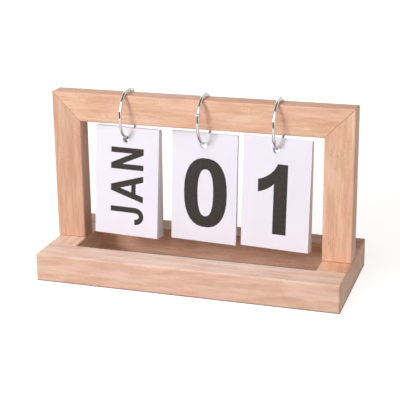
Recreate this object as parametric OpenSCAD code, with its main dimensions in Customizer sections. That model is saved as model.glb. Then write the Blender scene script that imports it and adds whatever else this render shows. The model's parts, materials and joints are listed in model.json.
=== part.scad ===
// Perpetual desk calendar: an upright wooden frame on a hollow wooden base.
// Three wire rings hang on the top rail, and each carries a stack of cards:
// the months, the tens and the ones of the date.
// Millimetres, +Z up, front towards -Y, origin at the middle of the underside.

/* [Base] */
// Width of the whole stand
stand_w = 250; // [240:1:320]
// Depth of the base, front to back
base_d = 108.5; // [95:0.5:150]
// Height of the base
base_h = 23; // [19:0.5:40]
// Width of the front rail of the base
base_front_w = 26.5; // [20:0.5:34]
// Width of the back rail of the base
base_back_w = 24; // [20:0.5:34]
// Width of the two side rails of the base
base_side_w = 24.2; // [20:0.1:30]

/* [Upright frame] */
// Height of the whole stand, underside to top of the rail
stand_h = 147.5; // [140:0.5:190]
// Width of the posts and height of the top rail
frame_w = 24.2; // [20:0.1:27]
// Thickness of the posts and the top rail, front to back
frame_d = 16; // [13:0.5:20]
// Rounding of the eased wooden edges
edge_r = 1.5; // [0.5:0.1:2]

/* [Dowels] */
// Diameter of the dowels in the base and under the posts
dowel_d = 6; // [4:0.5:7]
// Length of the dowels in the base's corners
corner_dowel_l = 24; // [16:1:28]
// Length of the dowels under the posts
post_dowel_l = 28; // [18:1:32]
// Distance between the two dowels of one joint
dowel_pitch = 9; // [8:0.5:11]
// Diameter of the dowels across the mitres
mitre_dowel_d = 4; // [3:0.5:5]
// Length of the dowels across the mitres
mitre_dowel_l = 16; // [10:1:17]
// Distance between the two dowels of one mitre
mitre_dowel_pitch = 9; // [7:0.5:10]

/* [Rings] */
// Diameter of a ring, measured along the middle of its wire
ring_d = 39.2; // [37:0.2:46]
// Diameter of the wire
wire_d = 2.4; // [1.8:0.1:2.6]
// Diameter of the hinge knuckle
knuckle_d = 2.8; // [2.4:0.1:3]
// Width of the hinge knuckle
knuckle_w = 3; // [2.6:0.1:3.2]
// Width of the tongue in the middle of the knuckle
tongue_w = 1.2; // [0.8:0.1:1.4]
// Diameter of the hinge pin
pin_d = 1; // [0.7:0.1:1.3]
// How far the knuckle's centre lies outside the middle of the wire
knuckle_rise = 0.5; // [0.3:0.1:0.8]
// Length of the lap in which the ends of the ring close
lap_l = 3.6; // [2.4:0.2:5]
// Diameter of the collar round the lap
collar_d = 2.8; // [2.6:0.1:3]

/* [Cards] */
// Width of a card
card_w = 56; // [48:0.5:60]
// Height of a card
card_h = 89.5; // [70:0.5:92]
// Thickness of a card
card_t = 0.5; // [0.3:0.05:0.6]
// Diameter of the punched hole
hole_d = 5.6; // [5:0.1:7]
// Distance from the top edge down to the middle of the hole
hole_drop = 9.8; // [8:0.1:10.1]
// Distance from the middle of the card to the middle of the hole, to the left
hole_side = 1; // [0:0.1:3]
// Free width left of the month cards, in percent of all that the cards leave free
left_share = 36.5; // [10:0.5:40]
// Free width between the month cards and the tens cards, in percent
month_share = 25.5; // [10:0.5:30]
// Free width between the tens cards and the ones cards, in percent
tens_share = 14; // [10:0.5:30]

/* [How the stacks hang] */
// Front month card, forward of the lowest point of its ring
month_forward = 7.1; // [5:0.1:9]
// Front tens card, forward of the lowest point of its ring
tens_forward = 4.1; // [2:0.1:9]
// Front ones card, forward of the lowest point of its ring
ones_forward = 9.1; // [5:0.1:9.4]
// Forward lean of the front month card, in degrees
month_lean = 5.8; // [3:0.1:6]
// Forward lean of the front tens card, in degrees
tens_lean = 3.9; // [3.6:0.1:6]
// Forward lean of the front ones card, in degrees
ones_lean = 4.8; // [3:0.1:6]
// Turn of the month cards, right side forward, in degrees
month_turn = 4.5; // [0:0.5:6]
// Turn of the tens cards, right side forward, in degrees
tens_turn = 4.5; // [0:0.5:6]
// Turn of the ones cards, right side forward, in degrees
ones_turn = 5.5; // [0:0.5:6]
// Place of the month ring's hinge, in degrees up from the front
month_hinge = 120; // [116:1:150]
// Place of the tens ring's hinge, in degrees up from the front
tens_hinge = 20; // [5:1:35]
// Place of the ones ring's hinge, in degrees up from the front
ones_hinge = 142; // [116:1:150]

/* [Hidden] */
$fn = 48;
MONTHS = ["jan", "feb", "mar", "apr", "may", "jun", "jul", "aug", "sep", "oct", "nov", "dec"];
TENS = ["0", "1", "2", "3"];
ONES = ["1", "2", "3", "4", "5", "6", "7", "8", "9", "0"];
SETS = ["month", "tens", "ones"];
LABELS = [MONTHS, TENS, ONES];

dowel_gap = 0.05;    // round a dowel
dowel_end_gap = 0.5; // beyond each end of a dowel
seat_gap = 0.2;      // between a ring and the edges that it rests on
hang_gap = 0.4;      // between a hole's upper edge and the wire
card_gap = 0.1;      // between two cards of a stack
front_gap = 0.2;     // more behind the front card, which turns by itself
side_gap = 0.1;      // beside the tongue, and between the two sides of the lap
pin_gap = 0.05;      // round the pin, in the tongue
swing_gap = 0.3;     // round the knuckle, and between the wire's ends there
collar_rise = 0.1;   // how far the collar's middle lies outside that of the wire
over = 1;            // how far a cutting shape runs past a face

month_back_lean = 0.6;
tens_back_lean = 3.4;
ones_back_lean = 1.2;

// Window between the posts, what the three stacks leave free of it, and their middles
window_w = stand_w - 2 * frame_w;
free_w = window_w - 3 * card_w;
month_x = -window_w / 2 + free_w * left_share / 100 + card_w / 2;
tens_x = month_x + card_w + free_w * month_share / 100;
ones_x = tens_x + card_w + free_w * tens_share / 100;

// Recess of the base
recess_front = -base_d / 2 + base_front_w;
recess_back = base_d / 2 - base_back_w;
recess_half_w = stand_w / 2 - base_side_w;

// Posts stand on the side rails, and their dowels are where both have wood
post_joint_w = min(frame_w, base_side_w);
post_x = stand_w / 2 - post_joint_w / 2;
side_rail_x = stand_w / 2 - base_side_w / 2;
mitre_mid = frame_w / 2;

// Height of the rings' centres, from the two rail edges that they rest on
ring_r = ring_d / 2;
ring_inner_r = ring_r - wire_d / 2;
ring_z = stand_h - edge_r
       - sqrt(pow(ring_inner_r - edge_r - seat_gap, 2) - pow(frame_d / 2 - edge_r, 2));
knuckle_r = ring_r + knuckle_rise;
collar_r = ring_r + collar_rise;
function along_ring(l) = l / ring_r * 180 / PI; // a length along the wire, as an angle
lap_a = along_ring(lap_l / 2);  // half the lap
collar_a = along_ring(lap_l);   // from the middle of the lap to the collar's end
hinge_a = along_ring(swing_gap); // from the wire's end to the hinge

// Radius on which the middles of the holes lie
hole_orbit = ring_r - wire_d / 2 + hole_d / 2 - hang_gap;

SET_X = [month_x - hole_side, tens_x - hole_side, ones_x - hole_side];
TURN = [month_turn, tens_turn, ones_turn];
FORWARD = [month_forward, tens_forward, ones_forward];
FRONT_LEAN = [month_lean, tens_lean, ones_lean];
BACK_LEAN = [month_back_lean, tens_back_lean, ones_back_lean];
HINGE = [month_hinge, tens_hinge, ones_hinge];

WOOD_NODES = ["base_front_rail", "base_back_rail", "base_left_rail", "base_right_rail",
              "left_post", "right_post", "top_rail",
              "base_dowels_left", "base_dowels_right", "post_dowels_left",
              "post_dowels_right", "mitre_dowels_left", "mitre_dowels_right"];
RING_NODES = [for (s = SETS) for (p = ["upper", "lower", "pin"]) str(s, "_ring_", p)];
CARD_NODES = [for (s = [0:2]) for (c = LABELS[s]) str(SETS[s], "_card_", c)];

// ---------- outlines ----------

module rounded_rect(w, d, r) {
    square([w - 2 * r, d], center = true);
    square([w, d - 2 * r], center = true);
    for (x = [-1, 1]) for (y = [-1, 1])
        translate([x * (w / 2 - r), y * (d / 2 - r)]) circle(r = r);
}

// A bar with its long edges eased, lying along X and centred on it
module eased_bar(l, d, h) {
    rotate([90, 0, 90]) linear_extrude(l, center = true) rounded_rect(d, h, edge_r);
}

// The wood that a concave rounding of one edge takes away, along X from 0 to l:
// it lies at +Y and below Z = 0
module edge_cut(l) {
    rotate([90, 0, 90]) linear_extrude(l) difference() {
        translate([-over, -edge_r]) square([edge_r + over, edge_r + over]);
        translate([edge_r, -edge_r]) circle(r = edge_r);
    }
}

// ---------- base ----------

module base_block() {
    translate([0, 0, base_h / 2]) intersection() {
        eased_bar(stand_w, base_d, base_h);
        rotate([0, 0, 90]) eased_bar(base_d, stand_w, base_h);
        linear_extrude(base_h, center = true) rounded_rect(stand_w, base_d, edge_r);
    }
}

// The hollow of the base, with its upper edges eased
module recess() {
    depth = recess_back - recess_front;
    translate([-recess_half_w, recess_front, -over])
        cube([2 * recess_half_w, depth, base_h + 2 * over]);
    for (side = [-1, 1]) {
        translate([side * recess_half_w, recess_front, base_h])
            rotate([0, 0, 90]) mirror([0, side < 0 ? 0 : 1, 0]) edge_cut(depth);
        translate([-recess_half_w, side < 0 ? recess_front : recess_back, base_h])
            mirror([0, side < 0 ? 1 : 0, 0]) edge_cut(2 * recess_half_w);
    }
}

module corner_dowels(side, gap, end_gap) {
    for (joint_y = [recess_front, recess_back]) for (z = [-1, 1])
        translate([side * side_rail_x, joint_y, base_h / 2 + z * dowel_pitch / 2])
            rotate([90, 0, 0])
                cylinder(d = dowel_d + 2 * gap, h = corner_dowel_l + 2 * end_gap, center = true);
}

module post_dowels(side, gap, end_gap) {
    for (x = [-1, 1])
        translate([side * post_x + x * dowel_pitch / 2, 0, base_h])
            cylinder(d = dowel_d + 2 * gap, h = post_dowel_l + 2 * end_gap, center = true);
}

module mitre_dowels(side, gap, end_gap) {
    for (k = [-1, 1])
        translate([side * (stand_w / 2 - mitre_mid), 0, stand_h - mitre_mid])
            rotate([0, -side * 45, 0])
                translate([side * k * mitre_dowel_pitch / 2, 0, 0])
                    cylinder(d = mitre_dowel_d + 2 * gap, h = mitre_dowel_l + 2 * end_gap, center = true);
}

module base_rail(x0, x1, y0, y1) {
    color("burlywood") difference() {
        intersection() {
            base_block();
            translate([x0, y0, -over]) cube([x1 - x0, y1 - y0, base_h + 2 * over]);
        }
        recess();
        for (side = [-1, 1]) {
            corner_dowels(side, dowel_gap, dowel_end_gap);
            post_dowels(side, dowel_gap, dowel_end_gap);
        }
    }
}

// ---------- upright frame ----------

// Outline of the whole upright, which eases its outer corners
module frame_block() {
    h = stand_h - base_h;
    translate([0, 0, base_h + h / 2]) intersection() {
        rotate([90, 0, 0]) linear_extrude(frame_d, center = true) rounded_rect(stand_w, h, edge_r);
        eased_bar(stand_w, frame_d, h);
    }
}

module frame_wedge(points) {
    rotate([90, 0, 0]) linear_extrude(frame_d + 2 * over, center = true) polygon(points);
}

module post(side) {
    outer = stand_w / 2;
    color("burlywood") difference() {
        intersection() {
            frame_block();
            translate([side * (outer - frame_w / 2), 0, (base_h + stand_h) / 2])
                rotate([0, 90, 0]) eased_bar(stand_h - base_h, frame_d, frame_w);
            frame_wedge([[side * outer, base_h], [side * (outer - frame_w), base_h],
                         [side * (outer - frame_w), stand_h - frame_w], [side * outer, stand_h]]);
        }
        post_dowels(side, dowel_gap, dowel_end_gap);
        mitre_dowels(side, dowel_gap, dowel_end_gap);
    }
}

module top_rail() {
    outer = stand_w / 2;
    color("burlywood") difference() {
        intersection() {
            frame_block();
            translate([0, 0, stand_h - frame_w / 2]) eased_bar(stand_w, frame_d, frame_w);
            frame_wedge([[-outer, stand_h], [outer, stand_h],
                         [outer - frame_w, stand_h - frame_w], [-outer + frame_w, stand_h - frame_w]]);
        }
        for (side = [-1, 1]) mitre_dowels(side, dowel_gap, dowel_end_gap);
    }
}

// ---------- rings ----------

// Puts a ring drawn round Z into its place round the top rail. Angles run up from
// the front. A drawn ring has its hinge at 180 degrees and its lap at 0.
module place_ring(s) {
    front_hinge = HINGE[s] < 90;
    translate([SET_X[s], 0, ring_z]) rotate([90, 0, -90])
        rotate([0, 0, front_hinge ? HINGE[s] : HINGE[s] - 180])
            mirror([front_hinge ? 1 : 0, 0, 0]) children();
}

module arc(from, to, r, d) {
    rotate([0, 0, from]) rotate_extrude(angle = to - from) translate([r, 0]) circle(d = d);
}

module at_knuckle() {
    translate([-knuckle_r, 0, 0]) children();
}

module knuckle_slice(r, z0, z1) {
    at_knuckle() translate([0, 0, z0]) cylinder(r = r, h = z1 - z0);
}

// The collar at one end of the ring. Over the lap it keeps only the half above
// Z = 0, so that the other end can close beside it.
module collar_end() {
    difference() {
        arc(along_ring(side_gap) - lap_a, collar_a, collar_r, collar_d);
        rotate([0, 0, lap_a]) translate([ring_r / 2, -2 * lap_l, -2 * collar_d])
            cube([ring_r, 2 * lap_l, 2 * collar_d + side_gap / 2]);
    }
}

// Half of the ring, from its hinge at 180 degrees over the top to the collar at 0
module half_ring() {
    arc((lap_a + collar_a) / 2, 180 - hinge_a, ring_r, wire_d);
    collar_end();
}

module ring_upper(s) {
    slot = tongue_w / 2 + side_gap;
    color("silver") place_ring(s) difference() {
        union() {
            half_ring();
            knuckle_slice(knuckle_d / 2, -knuckle_w / 2, knuckle_w / 2);
        }
        knuckle_slice(knuckle_d / 2 + swing_gap, -slot, slot);
        knuckle_slice(pin_d / 2, -knuckle_w, knuckle_w);
    }
}

module ring_lower(s) {
    color("silver") place_ring(s) difference() {
        union() {
            rotate([180, 0, 0]) half_ring();
            knuckle_slice(knuckle_d / 2, -tongue_w / 2, tongue_w / 2);
        }
        for (z = [-knuckle_w, tongue_w / 2])
            knuckle_slice(knuckle_d / 2 + swing_gap, z, z + knuckle_w - tongue_w / 2);
        knuckle_slice(pin_d / 2 + pin_gap, -knuckle_w, knuckle_w);
    }
}

module ring_pin(s) {
    color("dimgray") place_ring(s) knuckle_slice(pin_d / 2, -knuckle_w / 2, knuckle_w / 2);
}

// ---------- cards ----------

function card_y(s, i) = -FORWARD[s] + i * (card_t + card_gap) + (i > 0 ? front_gap : 0);
function card_z(s, i) = ring_z - sqrt(pow(hole_orbit, 2) - pow(card_y(s, i), 2));
function card_lean(s, i) =
    FRONT_LEAN[s] + (BACK_LEAN[s] - FRONT_LEAN[s]) * i / (len(LABELS[s]) - 1);

module card(s, i) {
    color("whitesmoke") translate([SET_X[s], card_y(s, i), card_z(s, i)])
        rotate([-card_lean(s, i), 0, -TURN[s]]) difference() {
            translate([hole_side - card_w / 2, -card_t / 2, hole_drop - card_h])
                cube([card_w, card_t, card_h]);
            rotate([90, 0, 0]) cylinder(d = hole_d, h = card_t + 2 * over, center = true);
        }
}

base_rail(-stand_w / 2, stand_w / 2, -base_d / 2, recess_front);  // base_front_rail
base_rail(-stand_w / 2, stand_w / 2, recess_back, base_d / 2);  // base_back_rail
base_rail(-stand_w / 2, -recess_half_w, recess_front, recess_back);  // base_left_rail
base_rail(recess_half_w, stand_w / 2, recess_front, recess_back);  // base_right_rail
post(-1);  // left_post
post(1);  // right_post
top_rail();
color("tan") corner_dowels(-1, 0, 0);  // base_dowels_left
color("tan") corner_dowels(1, 0, 0);  // base_dowels_right
color("tan") post_dowels(-1, 0, 0);  // post_dowels_left
color("tan") post_dowels(1, 0, 0);  // post_dowels_right
color("tan") mitre_dowels(-1, 0, 0);  // mitre_dowels_left
color("tan") mitre_dowels(1, 0, 0);  // mitre_dowels_right
for (s = [0:2]) {
    ring_upper(s);
    ring_lower(s);
    ring_pin(s);
    for (i = [0:len(LABELS[s]) - 1])
        card(s, i);
}
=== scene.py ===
"""Looks of the perpetual desk calendar: beech frame, chrome rings and printed cards.

Lengths are metres in the part's own frame. What lies on a card is measured in
millimetres from the middle of the card's top edge.
"""
import json
import math

import bpy
from mathutils import Matrix, Vector
from mathutils.geometry import delaunay_2d_cdt

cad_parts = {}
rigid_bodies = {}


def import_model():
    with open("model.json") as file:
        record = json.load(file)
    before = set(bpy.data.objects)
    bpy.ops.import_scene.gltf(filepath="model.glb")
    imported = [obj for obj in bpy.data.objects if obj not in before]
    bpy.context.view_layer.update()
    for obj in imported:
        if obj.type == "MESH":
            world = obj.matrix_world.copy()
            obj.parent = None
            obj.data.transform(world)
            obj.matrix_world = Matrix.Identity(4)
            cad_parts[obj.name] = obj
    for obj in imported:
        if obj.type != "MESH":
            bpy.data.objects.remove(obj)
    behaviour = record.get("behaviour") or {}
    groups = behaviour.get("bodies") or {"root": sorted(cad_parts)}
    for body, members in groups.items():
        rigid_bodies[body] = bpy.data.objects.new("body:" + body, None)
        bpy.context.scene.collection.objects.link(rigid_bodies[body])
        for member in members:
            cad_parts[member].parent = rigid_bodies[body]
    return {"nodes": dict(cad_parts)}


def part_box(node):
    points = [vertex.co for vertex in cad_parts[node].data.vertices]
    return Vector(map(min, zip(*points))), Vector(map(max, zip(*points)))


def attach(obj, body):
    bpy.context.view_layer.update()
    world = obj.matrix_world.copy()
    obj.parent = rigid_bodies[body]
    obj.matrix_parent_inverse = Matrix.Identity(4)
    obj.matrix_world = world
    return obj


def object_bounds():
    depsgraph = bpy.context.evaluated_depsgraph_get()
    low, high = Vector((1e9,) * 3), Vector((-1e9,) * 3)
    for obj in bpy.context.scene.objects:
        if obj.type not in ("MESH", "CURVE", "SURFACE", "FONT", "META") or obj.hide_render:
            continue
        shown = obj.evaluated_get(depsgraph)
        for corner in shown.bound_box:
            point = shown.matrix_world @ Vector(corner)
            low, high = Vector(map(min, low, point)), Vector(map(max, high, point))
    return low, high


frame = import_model()
CAD_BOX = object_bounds()
NODES = frame["nodes"]

MM = 0.001

# ---------- camera: the photograph's viewpoint, as measured from the frame's edges ----------

PHOTO_PIXELS = 400
FOCAL_PIXELS = 1155.13
SENSOR_MM = 36.0
CAMERA_PLACE = Vector((0.27039, -0.84833, 0.35276))
CAMERA_BACK = Vector((0.2905, -0.9053, 0.3098))  # from the object towards the camera
CAMERA_ROLL = math.radians(-0.674)


def make_camera():
    data = bpy.data.cameras.new("camera")
    data.sensor_width = SENSOR_MM
    data.lens = FOCAL_PIXELS / PHOTO_PIXELS * SENSOR_MM
    data.clip_end = 20
    forward = -CAMERA_BACK.normalized()
    right = forward.cross(Vector((0, 0, 1))).normalized()
    up = right.cross(forward)
    rolled_right = right * math.cos(CAMERA_ROLL) + up * math.sin(CAMERA_ROLL)
    rolled_up = -right * math.sin(CAMERA_ROLL) + up * math.cos(CAMERA_ROLL)
    turn = Matrix((rolled_right, rolled_up, -forward)).transposed()
    camera = bpy.data.objects.new("camera", data)
    camera.matrix_world = Matrix.Translation(CAMERA_PLACE) @ turn.to_4x4()
    bpy.context.collection.objects.link(camera)
    bpy.context.scene.camera = camera


# ---------- node helpers ----------


def new_material(name):
    material = bpy.data.materials.new(name)
    material.use_nodes = True
    return material, material.node_tree, material.node_tree.nodes["Principled BSDF"]


def add_node(tree, kind, inputs=(), **settings):
    """Adds a node. inputs holds (socket, value or output socket) pairs."""
    node = tree.nodes.new(kind)
    for key, value in settings.items():
        setattr(node, key, value)
    for key, value in inputs:
        if isinstance(value, bpy.types.NodeSocket):
            tree.links.new(value, node.inputs[key])
        else:
            node.inputs[key].default_value = value
    return node


def math_node(tree, operation, *values):
    return add_node(tree, "ShaderNodeMath", enumerate(values), operation=operation).outputs[0]


def remap(tree, value, low, high, to_low, to_high):
    pairs = (("Value", value), ("From Min", low), ("From Max", high),
             ("To Min", to_low), ("To Max", to_high))
    return add_node(tree, "ShaderNodeMapRange", pairs).outputs["Result"]


def mix_colour(tree, factor, first, second, blend="MIX"):
    node = add_node(tree, "ShaderNodeMix", data_type="RGBA", blend_type=blend)
    for socket, value in ((node.inputs[0], factor), (node.inputs[6], first), (node.inputs[7], second)):
        if isinstance(value, bpy.types.NodeSocket):
            tree.links.new(value, socket)
        else:
            socket.default_value = value
    return node.outputs[2]


def noise(tree, place, scale, detail=2.0, roughness=0.5):
    pairs = (("Vector", place), ("Scale", scale), ("Detail", detail), ("Roughness", roughness))
    return add_node(tree, "ShaderNodeTexNoise", pairs).outputs["Fac"]


def drawn_noise(tree, place, waves, detail=2.0, roughness=0.5):
    """Noise drawn out along X. waves holds the waves per metre along X and across it."""
    along, across = waves
    scaled = add_node(tree, "ShaderNodeMapping", (("Vector", place), ("Scale", (along, across, across))))
    return noise(tree, scaled.outputs["Vector"], 1.0, detail, roughness)


def set_bump(tree, shader, height, strength, distance):
    bump = add_node(tree, "ShaderNodeBump",
                    (("Height", height), ("Strength", strength), ("Distance", distance)))
    tree.links.new(bump.outputs["Normal"], shader.inputs["Normal"])


def grey(value):
    return (value, value, value, 1)


# ---------- wood ----------

WOOD_LIGHT = (0.93, 0.625, 0.45, 1)
WOOD_DARK = (0.77, 0.43, 0.262, 1)
WOOD_PINK = (0.88, 0.52, 0.37, 1)
WOOD_STREAK = (0.8, 0.68, 0.6, 1)  # tint of the darkest fibres
WOOD_FLECK = (0.79, 0.66, 0.57, 1)
SEAM_COLOUR = (0.42, 0.22, 0.125, 1)
RING_PITCH = 4.2 * MM            # between two growth rings
HEART_AWAY = 60 * MM             # from a board's middle to the heart of its tree
RING_WANDER = 5 * RING_PITCH     # how far the rings stray along a board
RING_RIPPLE = 0.35 * RING_PITCH
SEAM_WIDTH = 0.15 * MM           # half the width of a glued mitre's dark line

# Darkness of a growth ring at its start and at its end, and (place, darkness) in between
EARLY_WOOD = 0.1
NEXT_RING = 0.12
LATE_WOOD = ((0.55, 0.3), (0.86, 0.95), (0.95, 0.75))

# Waves per metre along the grain and across it
SLOW_WANDER = (9, 45)
FINE_WANDER = (30, 300)
FIBRES = (55, 2600)
FIGURE = (55, 620)
PATCHES = (26, 150)
CLOUDS = (22, 70)
RAYS = (380, 1900)
RAY_PATCHES = (40, 90)

WOOD_ROUGHNESS = (0.4, 0.54)
WOOD_SPECULAR = 0.3
WOOD_BUMP = 0.28
WOOD_BUMP_DEPTH = 0.12 * MM
NO_TINT = (1.0, 1.0, 1.0)


def grain_place(tree, axis, offset):
    """Object coordinates with the grain turned onto X, moved so that no two boards match."""
    coordinates = add_node(tree, "ShaderNodeTexCoord").outputs["Object"]
    parts = add_node(tree, "ShaderNodeSeparateXYZ", ((0, coordinates),)).outputs
    order = {"X": (0, 1, 2), "Y": (1, 0, 2), "Z": (2, 0, 1)}[axis]
    joined = add_node(tree, "ShaderNodeCombineXYZ", [(k, parts[order[k]]) for k in range(3)])
    moved = add_node(tree, "ShaderNodeVectorMath",
                     ((0, joined.outputs[0]), (1, offset)), operation="ADD")
    return moved.outputs[0], parts


def growth_bands(tree, place):
    """Darkness of the growth rings in a board cut away from the heart."""
    slow = drawn_noise(tree, place, SLOW_WANDER, 3.0)
    fine = drawn_noise(tree, place, FINE_WANDER)
    parts = add_node(tree, "ShaderNodeSeparateXYZ", ((0, place),)).outputs
    flat = add_node(tree, "ShaderNodeCombineXYZ", ((1, parts[1]), (2, parts[2])))
    radius = add_node(tree, "ShaderNodeVectorMath",
                      ((0, flat.outputs[0]), (1, (0, HEART_AWAY, 0.4 * HEART_AWAY))),
                      operation="DISTANCE").outputs["Value"]
    wander = math_node(tree, "MULTIPLY", slow, RING_WANDER)
    ripple = math_node(tree, "MULTIPLY", fine, RING_RIPPLE)
    total = math_node(tree, "ADD", math_node(tree, "ADD", radius, wander), ripple)
    phase = math_node(tree, "FRACT", math_node(tree, "DIVIDE", total, RING_PITCH))
    ramp = add_node(tree, "ShaderNodeValToRGB", ((0, phase),))
    stops = ramp.color_ramp.elements
    stops[0].color = grey(EARLY_WOOD)
    stops[1].color = grey(NEXT_RING)
    for place_in_ring, level in LATE_WOOD:
        stops.new(place_in_ring).color = grey(level)
    return ramp.outputs["Color"]


def flecks(tree, place):
    """The short dark rays of beech, a millimetre or two long."""
    cells = drawn_noise(tree, place, RAYS, 1.0)
    spots = remap(tree, cells, 0.63, 0.72, 0.0, 1.0)
    patches = remap(tree, drawn_noise(tree, place, RAY_PATCHES), 0.4, 0.65, 0.25, 1.0)
    return math_node(tree, "MULTIPLY", spots, patches)


def mitre_seam(tree, parts):
    """1 on the 45 degree joints of the upright, 0 elsewhere."""
    low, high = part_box("top_rail")
    from_side = math_node(tree, "SUBTRACT", high[0], math_node(tree, "ABSOLUTE", parts[0]))
    from_top = math_node(tree, "SUBTRACT", high[2], parts[2])
    apart = math_node(tree, "ABSOLUTE", math_node(tree, "SUBTRACT", from_side, from_top))
    return remap(tree, apart, SEAM_WIDTH, 2.2 * SEAM_WIDTH, 1.0, 0.0)


def looks_up(tree):
    """1 on faces that look up, 0 on upright ones."""
    normal = add_node(tree, "ShaderNodeTexCoord").outputs["Normal"]
    parts = add_node(tree, "ShaderNodeSeparateXYZ", ((0, normal),)).outputs
    return remap(tree, parts[2], 0.6, 0.9, 0.0, 1.0)


def wood(name, axis, offset, seam=False, tint=NO_TINT, painted_top_shading=NO_TINT):
    """tint is that of the whole board. The last tint is painted light and shade, laid on its faces that
    look up.
    """
    material, tree, shader = new_material(name)
    place, parts = grain_place(tree, axis, offset)
    bands = growth_bands(tree, place)
    fibre = drawn_noise(tree, place, FIBRES, 5.0, 0.6)
    figure = drawn_noise(tree, place, FIGURE, 3.0, 0.6)
    patch = drawn_noise(tree, place, PATCHES, 3.0, 0.6)
    cloud = drawn_noise(tree, place, CLOUDS, 3.0)
    dark_rays = flecks(tree, place)

    colour = mix_colour(tree, remap(tree, bands, 0, 1, 0.14, 0.5), WOOD_LIGHT, WOOD_DARK)
    colour = mix_colour(tree, remap(tree, cloud, 0.35, 0.65, 0.0, 0.85), colour, WOOD_PINK)
    streak = math_node(tree, "ADD", remap(tree, fibre, 0.3, 0.7, 0.3, 0.0),
                       remap(tree, figure, 0.35, 0.7, 0.36, 0.0))
    streak = math_node(tree, "ADD", streak, remap(tree, patch, 0.36, 0.64, 0.4, -0.36))
    colour = mix_colour(tree, streak, colour, WOOD_STREAK, "MULTIPLY")
    colour = mix_colour(tree, dark_rays, colour, WOOD_FLECK, "MULTIPLY")
    colour = mix_colour(tree, 1.0, colour, (*tint, 1), "MULTIPLY")
    # Painted light and shade, laid on the faces that look up.
    colour = mix_colour(tree, looks_up(tree), colour, (*painted_top_shading, 1), "MULTIPLY")
    if seam:
        colour = mix_colour(tree, mitre_seam(tree, parts), colour, SEAM_COLOUR)
    tree.links.new(colour, shader.inputs["Base Color"])

    tree.links.new(remap(tree, fibre, 0.3, 0.7, *WOOD_ROUGHNESS), shader.inputs["Roughness"])
    shader.inputs["Specular IOR Level"].default_value = WOOD_SPECULAR
    height = math_node(tree, "SUBTRACT", fibre, math_node(tree, "MULTIPLY", dark_rays, 0.6))
    set_bump(tree, shader, height, WOOD_BUMP, WOOD_BUMP_DEPTH)
    return material


# ---------- metal ----------

RING_COLOUR = (0.62, 0.6, 0.575, 1)
RING_ROUGHNESS = (0.04, 0.09)
PIN_COLOUR = (0.46, 0.45, 0.44, 1)
PIN_ROUGHNESS = (0.25, 0.4)
SMUDGES = 260.0        # waves per metre
SCRATCHES = (900, 5200)


def metal(name, colour, roughness):
    material, tree, shader = new_material(name)
    place = add_node(tree, "ShaderNodeTexCoord").outputs["Object"]
    smudge = noise(tree, place, SMUDGES, 3.0)
    scratch = drawn_noise(tree, place, SCRATCHES)
    shader.inputs["Base Color"].default_value = colour
    shader.inputs["Metallic"].default_value = 1.0
    tree.links.new(remap(tree, smudge, 0.35, 0.7, *roughness), shader.inputs["Roughness"])
    set_bump(tree, shader, scratch, 0.05, 0.02 * MM)
    return material


# ---------- paper ----------

PAPER = (0.94, 0.903, 0.968, 1)
PAPER_SHADE = (0.923, 0.883, 0.953, 1)
# Painted shade: the cards' cut edges are darker and greyer than their faces.
PAINTED_EDGE_SHADE = (0.9, 0.865, 0.88, 1)
INK = (0.04, 0.03, 0.026, 1)
INK_WORN = (0.064, 0.051, 0.045, 1)
PAPER_ROUGHNESS = 0.55
PAPER_SPECULAR = 0.3
INK_ROUGHNESS = 0.6
INK_SPECULAR = 0.25

# Waves per metre
PAPER_CLOUDS = 35.0
PAPER_FIBRES = 2400.0
INK_WEAR = 900.0


def cut_edge(tree, coordinates):
    """1 on the narrow cut edges of a card, 0 on its two faces."""
    parts = add_node(tree, "ShaderNodeSeparateXYZ", ((0, coordinates.outputs["Normal"]),)).outputs
    return remap(tree, math_node(tree, "ABSOLUTE", parts[1]), 0.5, 0.8, 1.0, 0.0)


def paper(name):
    material, tree, shader = new_material(name)
    coordinates = add_node(tree, "ShaderNodeTexCoord")
    place = coordinates.outputs["Object"]
    cloud = noise(tree, place, PAPER_CLOUDS, 3.0)
    fibre = noise(tree, place, PAPER_FIBRES, 3.0, 0.65)
    colour = mix_colour(tree, remap(tree, cloud, 0.35, 0.65, 0.0, 1.0), PAPER, PAPER_SHADE)
    # Painted shade on the cards' cut edges.
    colour = mix_colour(tree, cut_edge(tree, coordinates), colour, PAINTED_EDGE_SHADE)
    speck = remap(tree, fibre, 0.3, 0.7, 0.975, 1.02)
    colour = mix_colour(tree, 1.0, colour, speck, "MULTIPLY")
    tree.links.new(colour, shader.inputs["Base Color"])
    shader.inputs["Roughness"].default_value = PAPER_ROUGHNESS
    shader.inputs["Specular IOR Level"].default_value = PAPER_SPECULAR
    set_bump(tree, shader, fibre, 0.12, 0.03 * MM)
    return material


def ink(name):
    material, tree, shader = new_material(name)
    place = add_node(tree, "ShaderNodeTexCoord").outputs["Object"]
    wear = noise(tree, place, INK_WEAR, 4.0, 0.6)
    colour = mix_colour(tree, remap(tree, wear, 0.45, 0.75, 0.0, 1.0), INK, INK_WORN)
    tree.links.new(colour, shader.inputs["Base Color"])
    shader.inputs["Roughness"].default_value = INK_ROUGHNESS
    shader.inputs["Specular IOR Level"].default_value = INK_SPECULAR
    set_bump(tree, shader, wear, 0.08, 0.01 * MM)
    return material


# ---------- letters and digits ----------
# A glyph is a list of flat faces in millimetres, from its own lower left corner.
# A style gives the height of capitals, the width of upright strokes and of level ones.

DIGIT = {"height": 57.0, "stem": 11.7, "bar": 9.1, "round": 2.4, "width": 36.9}
LETTER = {"height": 28.9, "stem": 4.45, "bar": 4.15, "round": 2.3}
ARC_STEPS = 30


def curve(cx, cy, rx, ry, power, start, end, steps=ARC_STEPS):
    """Points of a superellipse between two angles, in degrees."""
    points = []
    for k in range(steps + 1):
        angle = math.radians(start + (end - start) * k / steps)
        c, s = math.cos(angle), math.sin(angle)
        points.append((cx + rx * math.copysign(abs(c) ** (2 / power), c),
                       cy + ry * math.copysign(abs(s) ** (2 / power), s)))
    return points


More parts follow.
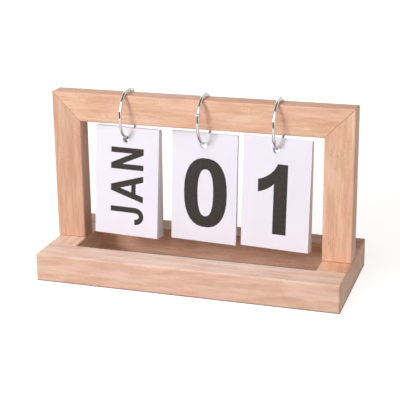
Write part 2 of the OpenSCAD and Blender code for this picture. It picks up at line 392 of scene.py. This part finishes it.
def bezier(a, b, c, d, steps=14):
    points = []
    for k in range(steps + 1):
        t = k / steps
        weights = ((1 - t) ** 3, 3 * t * (1 - t) ** 2, 3 * t * t * (1 - t), t ** 3)
        points.append(tuple(sum(w * p[i] for w, p in zip(weights, (a, b, c, d))) for i in (0, 1)))
    return points


def strip(outer, inner):
    return [(outer[k], outer[k + 1], inner[k + 1], inner[k]) for k in range(len(outer) - 1)]


def bowl(cx, cy, rx, ry, style, start=0.0, end=360.0, inner_round=2.9):
    """A curved stroke between an outer and an inner superellipse."""
    return strip(curve(cx, cy, rx, ry, style["round"], start, end),
                 curve(cx, cy, rx - style["stem"], ry - style["bar"], inner_round, start, end))


def pen(path, style):
    """A stroke along a path, as wide as stem where it is upright and as bar where level."""
    left, right = [], []
    for k, point in enumerate(path):
        before, after = path[max(k - 1, 0)], path[min(k + 1, len(path) - 1)]
        dx, dy = after[0] - before[0], after[1] - before[1]
        length = math.hypot(dx, dy)
        nx, ny = -dy / length * style["stem"] / 2, dx / length * style["bar"] / 2
        left.append((point[0] + nx, point[1] + ny))
        right.append((point[0] - nx, point[1] - ny))
    return strip(left, right)


def bar(x0, y0, x1, y1):
    return [((x0, y0), (x1, y0), (x1, y1), (x0, y1))]


def slant(x0, x1, height, width):
    """A straight stroke from x0 at the foot to x1 at the top, cut level at both ends."""
    return [((x0, 0), (x0 + width, 0), (x1 + width, height), (x1, height))]


def digit_one():
    upper = bezier((16.0, 56.5), (13.2, 49.2), (6.2, 44.6), (0.0, 43.3))
    lower = bezier((0.2, 33.0), (6.2, 34.6), (11.0, 37.4), (13.2, 40.4))
    outline = [(13.2, 0.0), (24.4, 0.0), (24.4, 56.4)] + upper + lower
    return [tuple(outline)], 24.4


def digit_four():
    h, stem = DIGIT["height"], DIGIT["stem"]
    faces = bar(22.0, 0, 22.0 + stem, h) + bar(0, 12.2, 37.6, 21.2)
    faces.append(((0, 21.0), (9.8, 21.0), (22.2, 42.5), (22.2, h), (20.2, h)))
    return faces, 37.6


def digit_seven():
    h, bar_w = DIGIT["height"], DIGIT["bar"]
    left = bezier((25.2, h - bar_w), (17.2, 37.0), (12.4, 20.0), (11.4, 0.0))
    right = bezier((22.6, 0.0), (23.4, 19.0), (28.4, 38.0), (36.4, h - bar_w))
    return bar(0.6, h - bar_w, 36.4, h) + [tuple(left + right)], 36.8


def digit_eight(w, h):
    upper = dict(DIGIT, stem=10.2, bar=7.8)
    faces = bowl(w / 2, h - 14.6, w / 2 - 1.2, 14.6, upper)
    return faces + bowl(w / 2, 16.4, w / 2, 16.4, DIGIT), w


def digit_six(w, h):
    side, top = DIGIT["stem"] / 2, DIGIT["bar"] / 2
    shoulder = curve(w / 2, h / 2, w / 2 - side, h / 2 - top, DIGIT["round"], 24, 180)
    faces = bowl(w / 2, 18.6, w / 2, 18.6, DIGIT, inner_round=2.5)
    return faces + pen(shoulder, DIGIT) + bar(0, 18.6, DIGIT["stem"], h / 2), w


def turned(faces, w, h):
    return [tuple((w - x, h - y) for x, y in face) for face in faces]


def digit(sign):
    w, h = DIGIT["width"], DIGIT["height"]
    side, level = DIGIT["stem"] / 2, DIGIT["bar"] / 2
    if sign == "0":
        return bowl(w / 2, h / 2, w / 2, h / 2, DIGIT, inner_round=2.4), w
    if sign == "1":
        return digit_one()
    if sign == "2":
        head = curve(w / 2, h - 17.2, w / 2 - side, 17.2 - level, 2.2, 176, 0)
        tail = bezier(head[-1], (w - side, 27.5), (9.5, 21.0), (side + 0.6, 2 * level - 1.0))
        return pen(head + tail[1:], DIGIT) + bar(0.4, 0, w - 0.4, 2 * level), w
    if sign == "3":
        head = curve(w / 2 - 0.6, h - 14.8, w / 2 - side - 0.8, 14.8 - level, 2.2, 172, -84)
        foot = curve(w / 2 - 0.4, 16.6, w / 2 - side, 16.6 - level, 2.2, 84, -172)
        return pen(head, DIGIT) + pen(foot, DIGIT) + bar(12.6, 25.6, 20.4, 33.6), w
    if sign == "4":
        return digit_four()
    if sign == "5":
        foot = curve(w / 2 - 0.2, 18.4, w / 2 - side, 18.4 - level, 2.2, 142, -172)
        flag = [((4.6, h), (2.0, 25.6), (12.4, 24.6), (14.0, h - 2 * level))]
        return bar(4.6, h - 2 * level, w - 2.0, h) + flag + pen(foot, DIGIT), w
    if sign == "6":
        return digit_six(w, h)
    if sign == "7":
        return digit_seven()
    if sign == "8":
        return digit_eight(w, h)
    faces, width = digit_six(w, h)
    return turned(faces, w, h), width


def letter(sign):
    h, s, b = LETTER["height"], LETTER["stem"], LETTER["bar"]
    stem = bar(0, 0, s, h)
    half_s, half_b = s / 2, b / 2

    def lobe(x, y0, y1, reach):
        """The round right side of B, D, P or R, from x out to reach."""
        middle, radius = (y0 + y1) / 2, (y1 - y0) / 2
        turn = bowl(x, middle, reach - x, radius, LETTER, -90, 90, 2.3)
        return turn + bar(s, y0, x, y0 + b) + bar(s, y1 - b, x, y1)

    if sign == "A":
        return slant(0, 8.5, h, 5.1) + slant(17.2, 8.7, h, 5.1) + bar(5.0, 6.6, 17.2, 10.6), 22.3
    if sign == "B":
        return stem + lobe(11.0, 0, 16.2, 19.4) + lobe(10.4, 16.2 - b, h, 18.2), 19.4
    if sign == "C":
        arc = curve(10.9, h / 2, 10.9 - half_s, h / 2 - half_b, 2.2, 36, 324)
        return pen(arc, LETTER), 20.4
    if sign == "D":
        return stem + lobe(9.4, 0, h, 21.0), 21.0
    if sign == "E":
        return stem + bar(s, 0, 17.6, b) + bar(s, 12.9, 16.4, 12.9 + b) + bar(s, h - b, 17.2, h), 17.6
    if sign == "F":
        return stem + bar(s, 12.4, 15.0, 12.4 + b) + bar(s, h - b, 16.6, h), 16.6
    if sign == "G":
        arc = curve(11.4, h / 2, 11.4 - half_s, h / 2 - half_b, 2.2, 38, 318)
        spur = bar(17.8, 3.6, 17.8 + s, 14.6) + bar(12.4, 14.6 - b, 17.8 + s, 14.6)
        return pen(arc, LETTER) + spur, 21.8
    if sign == "J":
        hook = curve(7.2, 7.9, 7.2 - half_s, 7.9 + 0.6 - half_b, 2.15, 0, -176)
        return bar(14.4 - s, 7.9, 14.4, h) + pen(hook, LETTER), 14.4
    if sign == "L":
        return stem + bar(s, 0, 15.8, b), 15.8
    if sign == "M":
        left_slope = ((0, h), (5.4, h), (13.4, 0), (9.6, 0))
        right_slope = ((23.0, h), (17.6, h), (9.6, 0), (13.4, 0))
        return stem + bar(23.0 - s, 0, 23.0, h) + [left_slope, right_slope], 23.0
    if sign == "N":
        slope = ((0, h), (4.8, h), (17.9, 0), (12.8, 0))
        return stem + bar(17.9 - s, 0, 17.9, h) + [slope], 17.9
    if sign == "O":
        return bowl(11.5, h / 2, 11.5, h / 2 + 0.5, LETTER, inner_round=2.3), 23.0
    if sign == "P":
        return stem + lobe(10.8, 11.6, h, 19.0), 19.0
    if sign == "R":
        leg = [((9.4, 13.4), (13.8, 13.4), (20.8, 0), (15.8, 0))]
        return stem + lobe(11.4, 12.2, h, 19.6) + leg, 20.8
    if sign == "S":
        head = curve(9.5, h - 7.9, 9.5 - half_s - 0.3, 7.9 - half_b, 2.1, 22, 222)
        foot = curve(9.6, 8.0, 9.6 - half_s, 8.0 - half_b, 2.1, 42, -158)
        spine = bezier(head[-1], (6.4, 14.6), (12.6, 14.4), foot[0])
        return pen(head + spine[1:-1] + foot, LETTER), 19.2
    if sign == "T":
        return bar(0, h - b, 19.6, h) + bar(9.8 - half_s, 0, 9.8 + half_s, h - b), 19.6
    if sign == "U":
        cup = curve(9.5, 9.6, 9.5 - half_s, 9.6 + 0.4 - half_b, 2.3, 180, 360)
        return bar(0, 9.6, s, h) + bar(19.0 - s, 9.6, 19.0, h) + pen(cup, LETTER), 19.0
    if sign == "V":
        return slant(8.6, 0, h, 4.4) + slant(8.6, 17.2, h, 4.4), 21.6
    if sign == "Y":
        left_arm = ((8.6, 12.0), (12.6, 12.0), (4.8, h), (0, h))
        right_arm = ((8.6, 12.0), (12.6, 12.0), (21.2, h), (16.4, h))
        return bar(10.6 - half_s, 0, 10.6 + half_s, 12.4) + [left_arm, right_arm], 21.2
    raise ValueError(sign)


# ---------- prints on the cards ----------

DIGIT_BELOW_TOP = 20.4     # from a card's top edge to the top of its digit
DIGIT_RIGHT = 1.2          # digit's middle, right of the card's middle
ONE_RIGHT = -15.2          # left end of the flag of the 1, from the card's middle
WORD_START = 80.2          # from the top edge down to where a month's name begins
WORD_LENGTH = 63.6         # the longest that a month's name may be
JAN_LENGTH = 63.5
LETTER_GAP = 4.45
BASELINE_RIGHT = 14.8      # baseline of a month's name, right of the card's middle
PRINT_DEPTH = 0.06         # sunk into the card
PRINT_RISE = 0.025         # proud of the card


def month_name(word):
    """Faces of a month's name, read upwards, from the middle of the card's top edge."""
    faces, x = [], 0.0
    for sign in word:
        shapes, width = letter(sign)
        faces += [[(px + x, py) for px, py in face] for face in shapes]
        x += width + LETTER_GAP
    length = x - LETTER_GAP
    squeeze = min(1.0, WORD_LENGTH / length)
    start = -WORD_START + (JAN_LENGTH - length * squeeze) / 2
    return [[(BASELINE_RIGHT - py, start + px * squeeze) for px, py in face] for face in faces]


def big_digit(sign):
    faces, width = digit(sign)
    left = ONE_RIGHT if sign == "1" else DIGIT_RIGHT - width / 2
    base = -DIGIT_BELOW_TOP - DIGIT["height"]
    return [[(left + px, base + py) for px, py in face] for face in faces]


def merged_outline(faces):
    """Joins overlapping faces into one triangulated sheet: points and triangles."""
    points, loops = [], []
    for face in faces:
        doubled_area = sum(a[0] * b[1] - a[1] * b[0] for a, b in zip(face, face[1:] + face[:1]))
        if doubled_area < 0:
            face = face[::-1]
        loops.append(list(range(len(points), len(points) + len(face))))
        points += [Vector(p) for p in face]
    sheet = delaunay_2d_cdt(points, [], loops, 0, 1e-4)
    triangles = [tuple(t) for t, sources in zip(sheet[2], sheet[5]) if sources]
    used = sorted({k for t in triangles for k in t})
    number = {k: i for i, k in enumerate(used)}
    return [sheet[0][k] for k in used], [tuple(number[k] for k in t) for t in triangles]


def card_plane(node):
    """Middle of the top edge, and right, up and outward directions of a card's front face."""
    mesh = NODES[node].data
    largest = max((f for f in mesh.polygons if f.normal.y < 0), key=lambda f: f.area)
    outward = largest.normal.normalized()
    right = Vector((0, 0, 1)).cross(outward).normalized()
    up = outward.cross(right)
    corners = [v.co for v in mesh.vertices]
    sides = [c.dot(right) for c in corners]
    middle = right * (max(sides) + min(sides)) / 2
    return middle + up * max(c.dot(up) for c in corners) + outward * max(c.dot(outward) for c in corners), \
        right, up, outward


def body_of(node):
    return NODES[node].parent.name.split(":", 1)[1]


def print_card(node, faces, material):
    """A thin closed layer of ink on the card's front face."""
    origin, right, up, outward = card_plane(node)
    sheet, triangles = merged_outline(faces)
    count = len(sheet)
    points = []
    for level in (PRINT_RISE, -PRINT_DEPTH):
        points += [origin + (right * p.x + up * p.y + outward * level) * MM for p in sheet]
    front = []
    for a, b, c in triangles:
        turn = (sheet[b] - sheet[a]).cross(sheet[c] - sheet[a])
        front.append((a, b, c) if turn > 0 else (a, c, b))
    edges = set()
    for a, b, c in front:
        edges |= {(a, b), (b, c), (c, a)}
    walls = [(a, a + count, b + count, b) for a, b in sorted(edges) if (b, a) not in edges]
    back = [(c + count, b + count, a + count) for a, b, c in front]
    mesh = bpy.data.meshes.new(node.replace("card", "print"))
    mesh.from_pydata(points, [], front + back + walls)
    mesh.materials.append(material)
    mesh.validate()
    piece = bpy.data.objects.new(mesh.name, mesh)
    bpy.context.collection.objects.link(piece)
    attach(piece, body_of(node))
    return piece


def print_all_cards():
    black = ink("ink")
    for node in sorted(NODES):
        if "_card_" not in node:
            continue
        label = node.rsplit("_", 1)[1]
        if node.startswith("month"):
            print_card(node, month_name(label.upper()), black)
        else:
            print_card(node, big_digit(label), black)


# ---------- finishes of the CAD pieces ----------

# Tints of the boards, fitted to how light each one is in the photograph
PALE = (1.05, 1.14, 1.24)
PLAIN = (1.04, 1.05, 1.05)
CLEAR = (1.09, 1.16, 1.18)
WARM = (1.06, 1.09, 1.1)
DEEP = (0.93, 0.92, 0.91)
DOWEL_TINT = (0.95, 0.95, 0.95)

# Painted light and shade on the boards' faces that look up. They are fitted to how light the photograph
# shows these faces, and stand in for its light. They aren't a known finish of the wood.
# Painted light: a whiter sheen on the tops of the base's front and left rails.
PAINTED_TOP_LIGHT = (1.05, 1.18, 1.28)
# Painted shade: a darker top on the upright's top rail.
PAINTED_TOP_SHADE = (0.86, 0.82, 0.82)
# Painted shadow of the cards on the top of the base's back rail.
PAINTED_TOP_SHADOW = (0.72, 0.62, 0.56)

# Direction of the grain, offset in it, whether a mitre crosses the board, its tint, and the painted light
# and shade on its top
BOARDS = {
    "base_front_rail": ("X", (0.31, 0.020, 0.045), False, PALE, PAINTED_TOP_LIGHT),
    "base_back_rail": ("X", (1.77, 0.011, 0.083), False, PLAIN, PAINTED_TOP_SHADOW),
    "base_left_rail": ("Y", (2.41, 0.052, 0.017), False, PALE, PAINTED_TOP_LIGHT),
    "base_right_rail": ("Y", (3.13, 0.034, 0.061), False, PLAIN, NO_TINT),
    "left_post": ("Z", (4.09, 0.074, 0.028), True, DEEP, NO_TINT),
    "right_post": ("Z", (5.27, 0.013, 0.052), True, CLEAR, NO_TINT),
    "top_rail": ("X", (6.83, 0.041, 0.009), True, WARM, PAINTED_TOP_SHADE),
}
DOWEL_OFFSETS = {"left": (0.15, 0.02, 0.03), "right": (0.55, 0.02, 0.03)}


def dress(node, material):
    for slot in NODES[node].material_slots:
        slot.material = material


def dress_wood():
    for node, finish in BOARDS.items():
        dress(node, wood("wood_" + node, *finish))
    for side, offset in DOWEL_OFFSETS.items():
        for joint in ("base", "post", "mitre"):
            node = f"{joint}_dowels_{side}"
            dress(node, wood("wood_" + node, "Z", offset, tint=DOWEL_TINT))


def dress_metal():
    ring = metal("ring_chrome", RING_COLOUR, RING_ROUGHNESS)
    pin = metal("pin_steel", PIN_COLOUR, PIN_ROUGHNESS)
    for name in ("month", "tens", "ones"):
        dress(f"{name}_ring_upper", ring)
        dress(f"{name}_ring_lower", ring)
        dress(f"{name}_ring_pin", pin)


def dress_cards():
    sheet = paper("card_paper")
    for node in NODES:
        if "_card_" in node:
            dress(node, sheet)


# ---------- floor, world and lamps ----------

FLOOR_HALF = 4.0
FLOOR_COLOUR = grey(0.5)
FLOOR_GLOW = 0.8           # lifts the floor to white for the camera, and leaves it its shadow
FAR_GLOW = 1.0             # the same where no shadow falls
FAR_AWAY = (0.3, 0.9)      # from the object's middle, where the one turns into the other
WORLD_COLOUR = (1.0, 0.74, 0.54, 1)
WORLD_LEVEL = 0.075        # soft light from all round
# Place, size, power and colour of each square lamp
LAMPS = {"key": (Vector((-0.85, -1.5, 0.86)), 0.6, 19.8, (0.98, 1.0, 1.08)),
         "top": (Vector((-0.1, -0.85, 1.25)), 0.9, 8.7, (1.0, 1.0, 1.0)),
         "side": (Vector((1.5, -0.5, 0.55)), 0.9, 4.3, (1.0, 0.88, 0.75)),
         "back": (Vector((-0.8, 1.3, 0.95)), 1.0, 3.0, (1.0, 0.9, 0.8))}
# Dark boards that only reflections show: middle, half size and glow of each
FLAGS = {"flag_above": (Vector((0.0, 0.05, 1.1)), Vector((0.9, 0.52, 0.0)), (0.2, 0.17, 0.15, 1)),
         "flag_front": (Vector((0.1, -0.72, 0.2)), Vector((0.75, 0.0, 0.2)), (0.02, 0.016, 0.014, 1))}
AIM = Vector((0.0, 0.0, 0.08))


def seen_directly(tree):
    """1 for camera, glossy and transmission rays."""
    path = add_node(tree, "ShaderNodeLightPath").outputs
    seen = math_node(tree, "MAXIMUM", path["Is Camera Ray"], path["Is Glossy Ray"])
    return math_node(tree, "MAXIMUM", seen, path["Is Transmission Ray"])


def under_object(tree):
    """1 on the floor under the object, 0 around it."""
    coordinates = add_node(tree, "ShaderNodeTexCoord").outputs["Object"]
    parts = add_node(tree, "ShaderNodeSeparateXYZ", ((0, coordinates),)).outputs
    low, high = CAD_BOX
    inside = 1.0
    for k in (0, 1):
        away = math_node(tree, "ABSOLUTE", math_node(tree, "SUBTRACT", parts[k], (low[k] + high[k]) / 2))
        inside = math_node(tree, "MULTIPLY", inside,
                           math_node(tree, "LESS_THAN", away, (high[k] - low[k]) / 2))
    return inside


def make_floor():
    mesh = bpy.data.meshes.new("floor")
    corners = [(x * FLOOR_HALF, y * FLOOR_HALF, 0) for x, y in ((-1, -1), (1, -1), (1, 1), (-1, 1))]
    mesh.from_pydata(corners, [], [(0, 1, 2, 3)])
    floor = bpy.data.objects.new("floor", mesh)
    bpy.context.collection.objects.link(floor)
    material, tree, shader = new_material("floor_white")
    shader.inputs["Base Color"].default_value = FLOOR_COLOUR
    shader.inputs["Roughness"].default_value = 0.9
    shader.inputs["Specular IOR Level"].default_value = 0.0
    shader.inputs["Emission Color"].default_value = grey(1.0)
    place = add_node(tree, "ShaderNodeTexCoord").outputs["Object"]
    away = add_node(tree, "ShaderNodeVectorMath", ((0, place),), operation="LENGTH").outputs["Value"]
    level = remap(tree, away, *FAR_AWAY, FLOOR_GLOW, FAR_GLOW)
    glow = math_node(tree, "MULTIPLY", seen_directly(tree), level)
    open_floor = math_node(tree, "SUBTRACT", 1.0, under_object(tree))
    tree.links.new(math_node(tree, "MULTIPLY", glow, open_floor), shader.inputs["Emission Strength"])
    mesh.materials.append(material)


def make_flags():
    """Dark boards over and before the object, which give the chrome something to show."""
    for name, (middle, half, glow) in FLAGS.items():
        material, tree, shader = new_material(name)
        shader.inputs["Base Color"].default_value = grey(0.0)
        shader.inputs["Specular IOR Level"].default_value = 0.0
        shader.inputs["Emission Color"].default_value = glow
        shader.inputs["Emission Strength"].default_value = 1.0
        side = Vector((half.x, 0, 0))
        rise = Vector((0, half.y, half.z))
        corners = (-side - rise, side - rise, side + rise, -side + rise)
        mesh = bpy.data.meshes.new(name)
        mesh.from_pydata([middle + corner for corner in corners], [], [(0, 1, 2, 3)])
        mesh.materials.append(material)
        flag = bpy.data.objects.new(name, mesh)
        bpy.context.collection.objects.link(flag)
        for ray in ("camera", "diffuse", "transmission", "shadow"):
            setattr(flag, "visible_" + ray, False)


def make_world():
    world = bpy.data.worlds.new("studio")
    bpy.context.scene.world = world
    world.use_nodes = True
    tree = world.node_tree
    background = tree.nodes["Background"]
    seen = seen_directly(tree)
    tree.links.new(mix_colour(tree, seen, WORLD_COLOUR, grey(1.0)), background.inputs["Color"])
    level = remap(tree, seen, 0, 1, WORLD_LEVEL, 1.0)
    tree.links.new(level, background.inputs["Strength"])


def make_lamp(name, place, size, power, colour):
    data = bpy.data.lights.new(name, "AREA")
    data.shape = "SQUARE"
    data.size = size
    data.energy = power
    data.color = colour
    lamp = bpy.data.objects.new(name, data)
    lamp.location = place
    lamp.rotation_euler = (place - AIM).to_track_quat("Z", "Y").to_euler()
    bpy.context.collection.objects.link(lamp)


make_camera()
dress_wood()
dress_metal()
dress_cards()
print_all_cards()
make_floor()
make_flags()
make_world()
for lamp_name, settings in LAMPS.items():
    make_lamp(lamp_name, *settings)
bpy.context.scene.view_settings.view_transform = "Standard"
